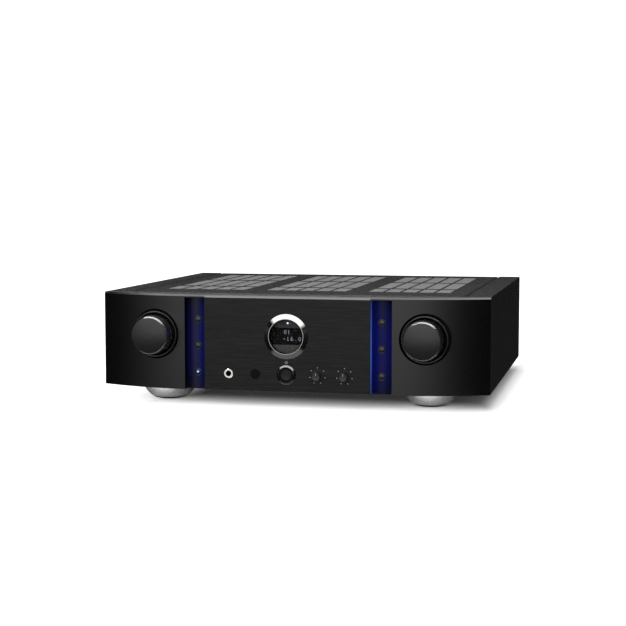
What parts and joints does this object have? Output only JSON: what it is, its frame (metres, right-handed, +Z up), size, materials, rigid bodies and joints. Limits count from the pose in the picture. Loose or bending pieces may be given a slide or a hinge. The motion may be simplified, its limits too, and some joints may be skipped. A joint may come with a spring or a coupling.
{
  "type": "integrated stereo amplifier",
  "caption": "Stereo amplifier with a curved front, porthole display, large turned knobs, lit button strips and a slotted lid over its heat sinks.",
  "frame": {"origin": "centre of the overall footprint at the level the feet stand on", "axes": "+X to the listener's right, +Y from the front to the back, +Z up"},
  "size_m": [0.44, 0.4536, 0.123],
  "materials": {
    "satin_black": "satin black anodised aluminium",
    "brushed_black": "black, brushed across",
    "cover_paint": "fine textured black powder coat",
    "grille_grey": "satin grey",
    "strip_acrylic": "dark blue lit acrylic",
    "guide_acrylic": "clear, lit blue",
    "knob_black": "black, spun face and diamond-cut edge",
    "ring_polished": "polished, smoke tinted",
    "nut_silver": "turned bright",
    "gloss_black": "gloss",
    "matte_black": "matte",
    "display_glass": "smoked clear",
    "foot_silver": "turned, clear anodised",
    "rubber_black": "matte",
    "plated_steel": "zinc plated sheet",
    "board_green": "solder masked glass epoxy",
    "sink_black": "black anodised extrusion",
    "can_black": "sleeved can",
    "gold": "gold plated",
    "cap_plastic": "clear over metal"
  },
  "bodies": {
    "chassis": {"amp_boards": "board_green", "centre_plate": "brushed_black", "chassis_base": "cover_paint", "display_glass": "display_glass", "display_module": "matte_black", "display_ring": "ring_polished", "encoders": "plated_steel", "feet": "foot_silver", "foot_pads": "rubber_black", "front_board": "board_green", "front_bulkhead": "plated_steel", "front_panel": "satin_black", "heat_sink_left": "sink_black", "heat_sink_right": "sink_black", "input_board": "board_green", "ir_window": "gloss_black", "jack_block": "matte_black", "light_guides": "guide_acrylic", "light_panel_left": "strip_acrylic", "light_panel_right": "strip_acrylic", "line_jacks": "gold", "mains_inlet": "matte_black", "output_transistors": "matte_black", "phones_jack": "nut_silver", "power_bezel": "gloss_black", "rear_panel": "cover_paint", "remote_jacks": "nut_silver", "reservoir_capacitors": "can_black", "selector_bezel": "gloss_black", "side_cover_left": "cover_paint", "side_cover_right": "cover_paint", "speaker_posts": "gold", "supply_board": "board_green", "switches": "matte_black", "terminal_plate": "matte_black", "tone_pots": "plated_steel", "tone_seats": "matte_black", "top_cover": "cover_paint", "transformer": "can_black", "transformer_clamp": "plated_steel", "vent_grilles": "grille_grey", "volume_bezel": "gloss_black"},
    "selector": {"selector_knob": "knob_black", "selector_spindle": "plated_steel"},
    "volume": {"volume_knob": "knob_black", "volume_spindle": "plated_steel"},
    "bass": {"bass_knob": "knob_black"},
    "treble": {"treble_knob": "knob_black"},
    "power": {"power_button": "knob_black"},
    "ground": {"ground_screw": "nut_silver"},
    "display_key": {"display_button": "gloss_black"},
    "tone_key": {"tone_button": "gloss_black"},
    "speaker_key": {"speaker_button": "gloss_black"},
    "mute_key": {"mute_button": "gloss_black"},
    "direct_key": {"direct_button": "gloss_black"},
    "cartridge_key": {"cartridge_button": "gloss_black"},
    "cap_right_plus": {"speaker_cap_right_plus": "cap_plastic"},
    "cap_right_minus": {"speaker_cap_right_minus": "cap_plastic"},
    "cap_left_plus": {"speaker_cap_left_plus": "cap_plastic"},
    "cap_left_minus": {"speaker_cap_left_minus": "cap_plastic"}
  },
  "joints": [
    {"name": "selector_turn", "type": "hinge", "parent": "chassis", "child": "selector", "pos_m": [-0.152, -0.22675, 0.0782], "axis": [0, -1, 0], "continuous": true},
    {"name": "volume_turn", "type": "hinge", "parent": "chassis", "child": "volume", "pos_m": [0.152, -0.22675, 0.0782], "axis": [0, -1, 0], "continuous": true},
    {"name": "bass_turn", "type": "hinge", "parent": "chassis", "child": "bass", "pos_m": [0.035, -0.20825, 0.0366], "axis": [0, -1, 0], "range_deg": [-150, 150]},
    {"name": "treble_turn", "type": "hinge", "parent": "chassis", "child": "treble", "pos_m": [0.065, -0.20825, 0.0366], "axis": [0, -1, 0], "range_deg": [-150, 150]},
    {"name": "power_push", "type": "slide", "parent": "chassis", "child": "power", "axis": [0, 1, 0], "range_m": [0, 0.0025], "stiffness_N_per_m": 800, "springref_m": -0.0005},
    {"name": "ground_turn", "type": "hinge", "parent": "chassis", "child": "ground", "pos_m": [0.206, 0.19875, 0.1051], "axis": [0, 1, 0], "range_deg": [-360, 0]},
    {"name": "display_push", "type": "slide", "parent": "chassis", "child": "display_key", "axis": [0, 1, 0], "range_m": [0, 0.0008], "stiffness_N_per_m": 600, "springref_m": -0.0003},
    {"name": "tone_push", "type": "slide", "parent": "chassis", "child": "tone_key", "axis": [0, 1, 0], "range_m": [0, 0.0008], "stiffness_N_per_m": 600, "springref_m": -0.0003},
    {"name": "speaker_push", "type": "slide", "parent": "chassis", "child": "speaker_key", "axis": [0, 1, 0], "range_m": [0, 0.0008], "stiffness_N_per_m": 600, "springref_m": -0.0003},
    {"name": "mute_push", "type": "slide", "parent": "chassis", "child": "mute_key", "axis": [0, 1, 0], "range_m": [0, 0.0008], "stiffness_N_per_m": 600, "springref_m": -0.0003},
    {"name": "direct_push", "type": "slide", "parent": "chassis", "child": "direct_key", "axis": [0, 1, 0], "range_m": [0, 0.0008], "stiffness_N_per_m": 600, "springref_m": -0.0003},
    {"name": "cartridge_push", "type": "slide", "parent": "chassis", "child": "cartridge_key", "axis": [0, 1, 0], "range_m": [0, 0.0008], "stiffness_N_per_m": 600, "springref_m": -0.0003},
    {"name": "cap_right_plus_turn", "type": "hinge", "parent": "chassis", "child": "cap_right_plus", "pos_m": [-0.14, 0.19875, 0.0791], "axis": [0, 1, 0], "range_deg": [-900, 0]},
    {"name": "cap_right_minus_turn", "type": "hinge", "parent": "chassis", "child": "cap_right_minus", "pos_m": [-0.114, 0.19875, 0.0791], "axis": [0, 1, 0], "range_deg": [-900, 0]},
    {"name": "cap_left_plus_turn", "type": "hinge", "parent": "chassis", "child": "cap_left_plus", "pos_m": [-0.076, 0.19875, 0.0791], "axis": [0, 1, 0], "range_deg": [-900, 0]},
    {"name": "cap_left_minus_turn", "type": "hinge", "parent": "chassis", "child": "cap_left_minus", "pos_m": [-0.05, 0.19875, 0.0791], "axis": [0, 1, 0], "range_deg": [-900, 0]}
  ]
}
